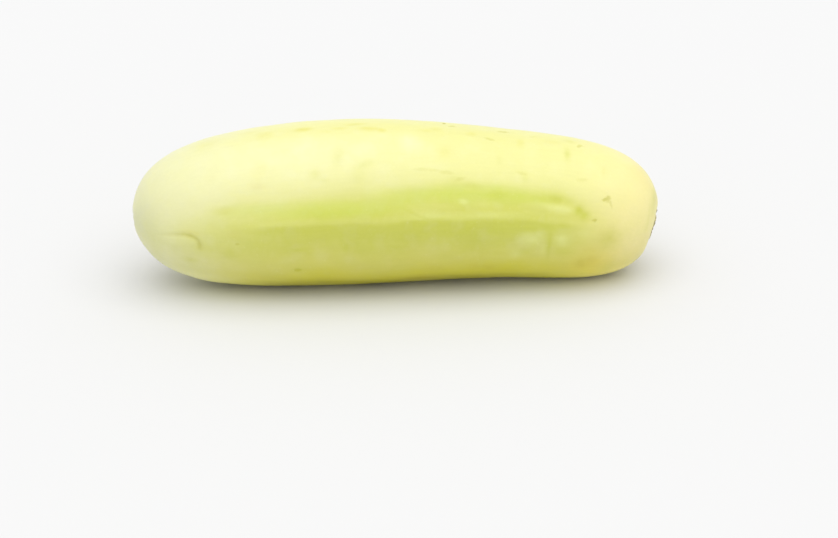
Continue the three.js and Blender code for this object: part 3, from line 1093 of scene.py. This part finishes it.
# Painted light: the tone is raised low on both ends, by up to 36 percent.
tone = 1.0 + fine_streaks * 0.05 + grain * 0.04 + kept("painted_light_low") * 0.36 + dry * blotches * 0.5
colour = graph.node("ShaderNodeVectorMath", {"operation": "SCALE"}, {0: colour, "Scale": tone}, "Vector")

# %% [markdown]
# ## Gloss, bumps and depth
#
# The wax is smooth but not polished, and dull on the cork and the bruises. The finest relief is a
# tenth of a millimetre at most, far below the mesh's steps, so it is a bump. Light goes a little
# way into pale flesh, and blue the least way, so the shader scatters it under the skin.

# %% The waxy skin
BUMP_HEIGHT, BUMP_STRENGTH, WAX_IOR = 0.1 * MM, 0.25, 1.42
FLESH_SHARE, FLESH_DEPTH, FLESH_COLOURS = 0.35, 1.4 * MM, (1.0, 0.9, 0.35)
gloss = 0.40 + mottle * 0.10 + 0.35 * cork + 0.2 * kept("bruise_and_crease_shade")
height = grain * 0.5 + fine_streaks * 0.4 + 2.5 * cork * edges - 1.5 * flecks - 0.5 * pores
bump = graph.node("ShaderNodeBump", {}, {
    "Strength": BUMP_STRENGTH, "Distance": BUMP_HEIGHT, "Height": height}, "Normal")
skin = graph.node("ShaderNodeBsdfPrincipled", {"subsurface_method": "RANDOM_WALK"}, {
    "Base Color": colour, "Roughness": gloss.clamped(), "Normal": bump, "IOR": WAX_IOR,
    "Subsurface Weight": FLESH_SHARE, "Subsurface Radius": FLESH_COLOURS, "Subsurface Scale": FLESH_DEPTH,
}, "BSDF")
graph.node("ShaderNodeOutputMaterial", {}, {"Surface": skin})
rind_mesh.materials.append(rind_material)
print(f"finish: {len(nodes)} nodes")

# %% [markdown]
# ## Floor and light
#
# The stage is a plain pale floor under a plain pale sky, with one broad soft light from above, a
# little in front and to the right. Soft boxes would do too, but a wide sun is even all over the
# floor. The floor sends back its own colour's share of the sky and of the light. Its colour is
# chosen so that this equals the sky, so the horizon doesn't show from any side.

# %% Sky and light
SKY, KEY = 0.95, 0.50
KEY_ELEVATION, KEY_TURN, KEY_WIDTH = math.radians(72), math.radians(25), math.radians(80)

world = bpy.data.worlds.new("studio")
world.use_nodes = True
world.node_tree.nodes["Background"].inputs["Color"].default_value = (SKY, SKY, SKY, 1)
bpy.context.scene.world = world

key = bpy.data.objects.new("key", bpy.data.lights.new("key", "SUN"))
key.data.energy = KEY * math.pi / math.sin(KEY_ELEVATION)
key.data.angle = KEY_WIDTH
key.rotation_euler = (math.pi / 2 - KEY_ELEVATION, 0, KEY_TURN)
bpy.context.scene.collection.objects.link(key)
print(f"light: sky {SKY:.2f}, key {key.data.energy:.2f}")

# %% Floor
FLOOR_HALF_WIDTH = 6.0
floor_colour = SKY / (SKY + KEY)
floor_mesh = bpy.data.meshes.new("floor")
corners = FLOOR_HALF_WIDTH * np.array([(-1, -1, 0), (1, -1, 0), (1, 1, 0), (-1, 1, 0)])
floor_mesh.from_pydata(corners.tolist(), [], [(0, 1, 2, 3)])
floor = bpy.data.objects.new("floor", floor_mesh)
floor_material = bpy.data.materials.new("floor")
floor_material.use_nodes = True
floor_paint = floor_material.node_tree.nodes["Principled BSDF"]
floor_paint.inputs["Base Color"].default_value = (floor_colour, floor_colour, floor_colour, 1)
floor_paint.inputs["Roughness"].default_value = 1.0
floor_paint.inputs["Specular IOR Level"].default_value = 0.0
floor_mesh.materials.append(floor_material)
bpy.context.scene.collection.objects.link(floor)
floor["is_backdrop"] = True
bpy.context.scene.view_settings.view_transform = "Standard"
print(f"stage: floor colour {floor_colour:.2f}")

# %% [markdown]
# ## Sizes, and the end
#
# The two boxes are written down side by side, so that the fine surface can be compared with the
# imported solid.

# %% Finish
low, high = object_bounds()
for axis, name in enumerate("XYZ"):
    print(f"axis {name}: frame {cad_low[axis]:.4f} to {cad_high[axis]:.4f}, "
          f"surface {low[axis]:.4f} to {high[axis]:.4f}")
